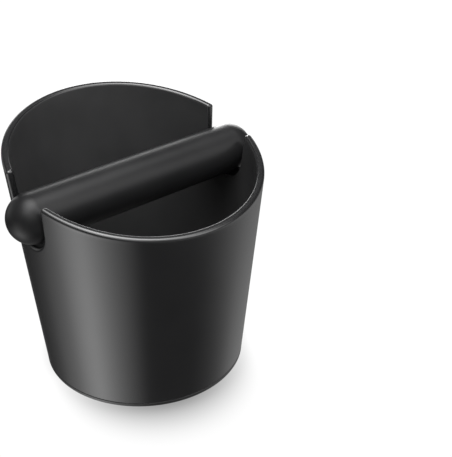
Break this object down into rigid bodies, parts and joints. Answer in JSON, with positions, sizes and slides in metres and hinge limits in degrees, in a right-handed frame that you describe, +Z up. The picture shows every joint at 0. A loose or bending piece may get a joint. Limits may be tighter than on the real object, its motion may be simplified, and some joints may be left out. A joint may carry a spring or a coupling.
{
  "type": "espresso knock box",
  "caption": "Round tapered knock box with a slanted open rim and a lift-out rubber-covered bar across two slots, for knocking spent espresso pucks out of a filter basket.",
  "frame": {"origin": "centre of the resting face under the base ring, on the bucket's axis", "axes": "+Z up, +X along the knock bar, -Y towards the low front of the rim and +Y towards its high back"},
  "size_m": [0.1564, 0.1399, 0.1415],
  "materials": {
    "bucket_plastic": "satin black moulded plastic with a very fine texture",
    "base_rubber": "dull black rubber",
    "bar_rubber": "soft black rubber, dull, with faint handling marks",
    "core_steel": "plain drawn tube",
    "plug_plastic": "plain black moulded plastic"
  },
  "bodies": {
    "bucket": {"bucket": "bucket_plastic", "base_ring": "base_rubber"},
    "knock_bar": {"bar_core": "core_steel", "left_core_plug": "plug_plastic", "right_core_plug": "plug_plastic"},
    "bar_sleeve": {"bar_sleeve": "bar_rubber"}
  },
  "joints": [
    {"name": "bar_lift", "type": "slide", "parent": "bucket", "child": "knock_bar", "axis": [0, 0, 1], "range_m": [0, 0.06]},
    {"name": "bar_roll", "type": "hinge", "parent": "knock_bar", "child": "bar_sleeve", "pos_m": [0, 0.0014, 0.11], "axis": [1, 0, 0], "continuous": true}
  ]
}
